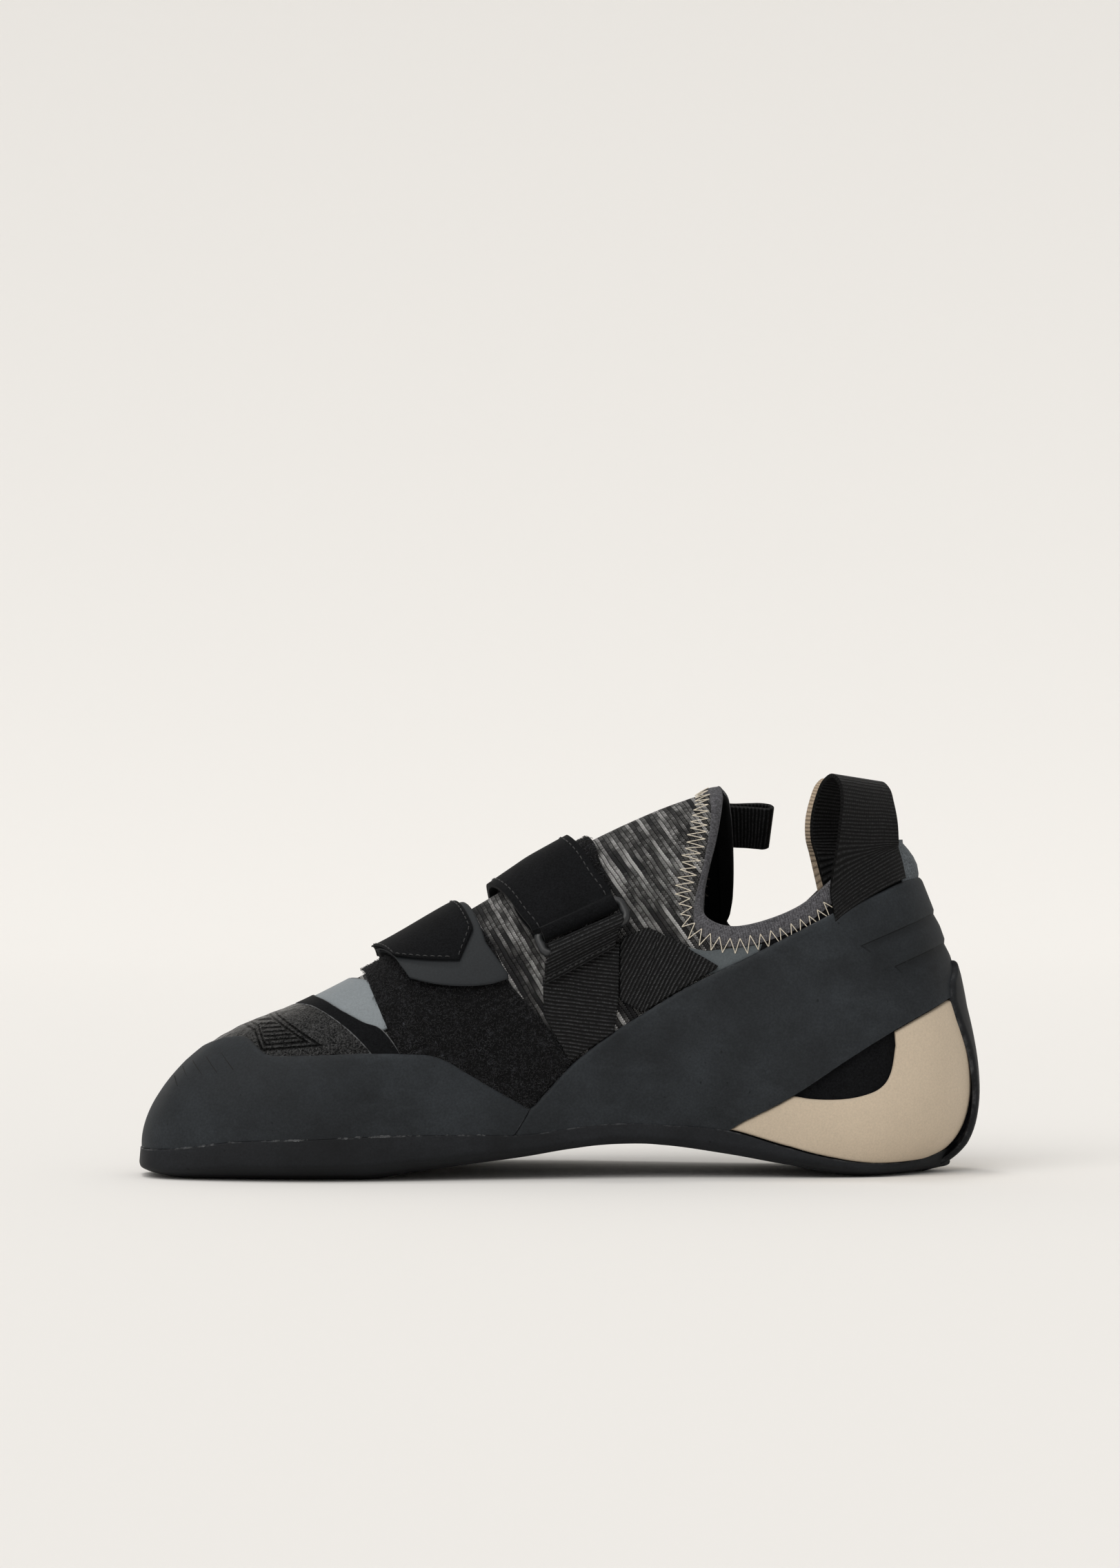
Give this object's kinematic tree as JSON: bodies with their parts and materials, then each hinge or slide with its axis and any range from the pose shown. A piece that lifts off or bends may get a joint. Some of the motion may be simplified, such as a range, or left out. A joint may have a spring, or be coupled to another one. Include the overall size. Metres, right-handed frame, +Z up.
{
  "type": "climbing shoe",
  "caption": "Right climbing shoe with a knitted sock upper, rubber toe rand and heel band, hook-and-loop straps over the instep, ribbed pull loops and an arched outsole.",
  "frame": {"origin": "middle of the overall box in plan, on the floor", "axes": "+X from the toe to the heel, +Y from the big-toe side to the little-toe side, +Z up"},
  "size_m": [0.259, 0.0918, 0.1228],
  "materials": {
    "sole_rubber": "matt rubber",
    "insole_board": "felted board",
    "knit": "ribbed knit",
    "rand_rubber": "matt rubber",
    "beige_microfibre": "napped microfibre",
    "grained_rubber": "grained, satin",
    "black_suede": "suede",
    "grey_microfibre": "napped microfibre",
    "loop_pile": "looped pile",
    "strap_grey": "coated microfibre",
    "ring_plastic": "moulded, satin",
    "black_webbing": "ribbed webbing",
    "heel_suede": "suede",
    "beige_webbing": "ribbed webbing"
  },
  "bodies": {
    "root": {"outsole": "sole_rubber", "insole": "insole_board", "upper": "knit", "toe_rand": "rand_rubber", "heel_band": "rand_rubber", "heel_cup_medial": "beige_microfibre", "heel_cup_lateral": "beige_microfibre", "toe_patch": "grained_rubber", "vamp_trim": "black_suede", "vamp_panel": "grey_microfibre", "loop_panel": "loop_pile", "toe_strap": "strap_grey", "toe_strap_tab": "black_suede", "strap_ring": "ring_plastic", "ankle_strap": "black_suede", "webbing_sleeve": "black_webbing", "webbing_front": "black_webbing", "webbing_rear": "black_webbing", "collar_binding": "knit", "heel_tab": "heel_suede", "heel_loop_medial": "black_webbing", "heel_loop_lateral": "beige_webbing", "collar_tab": "black_webbing"}
  },
  "joints": []
}
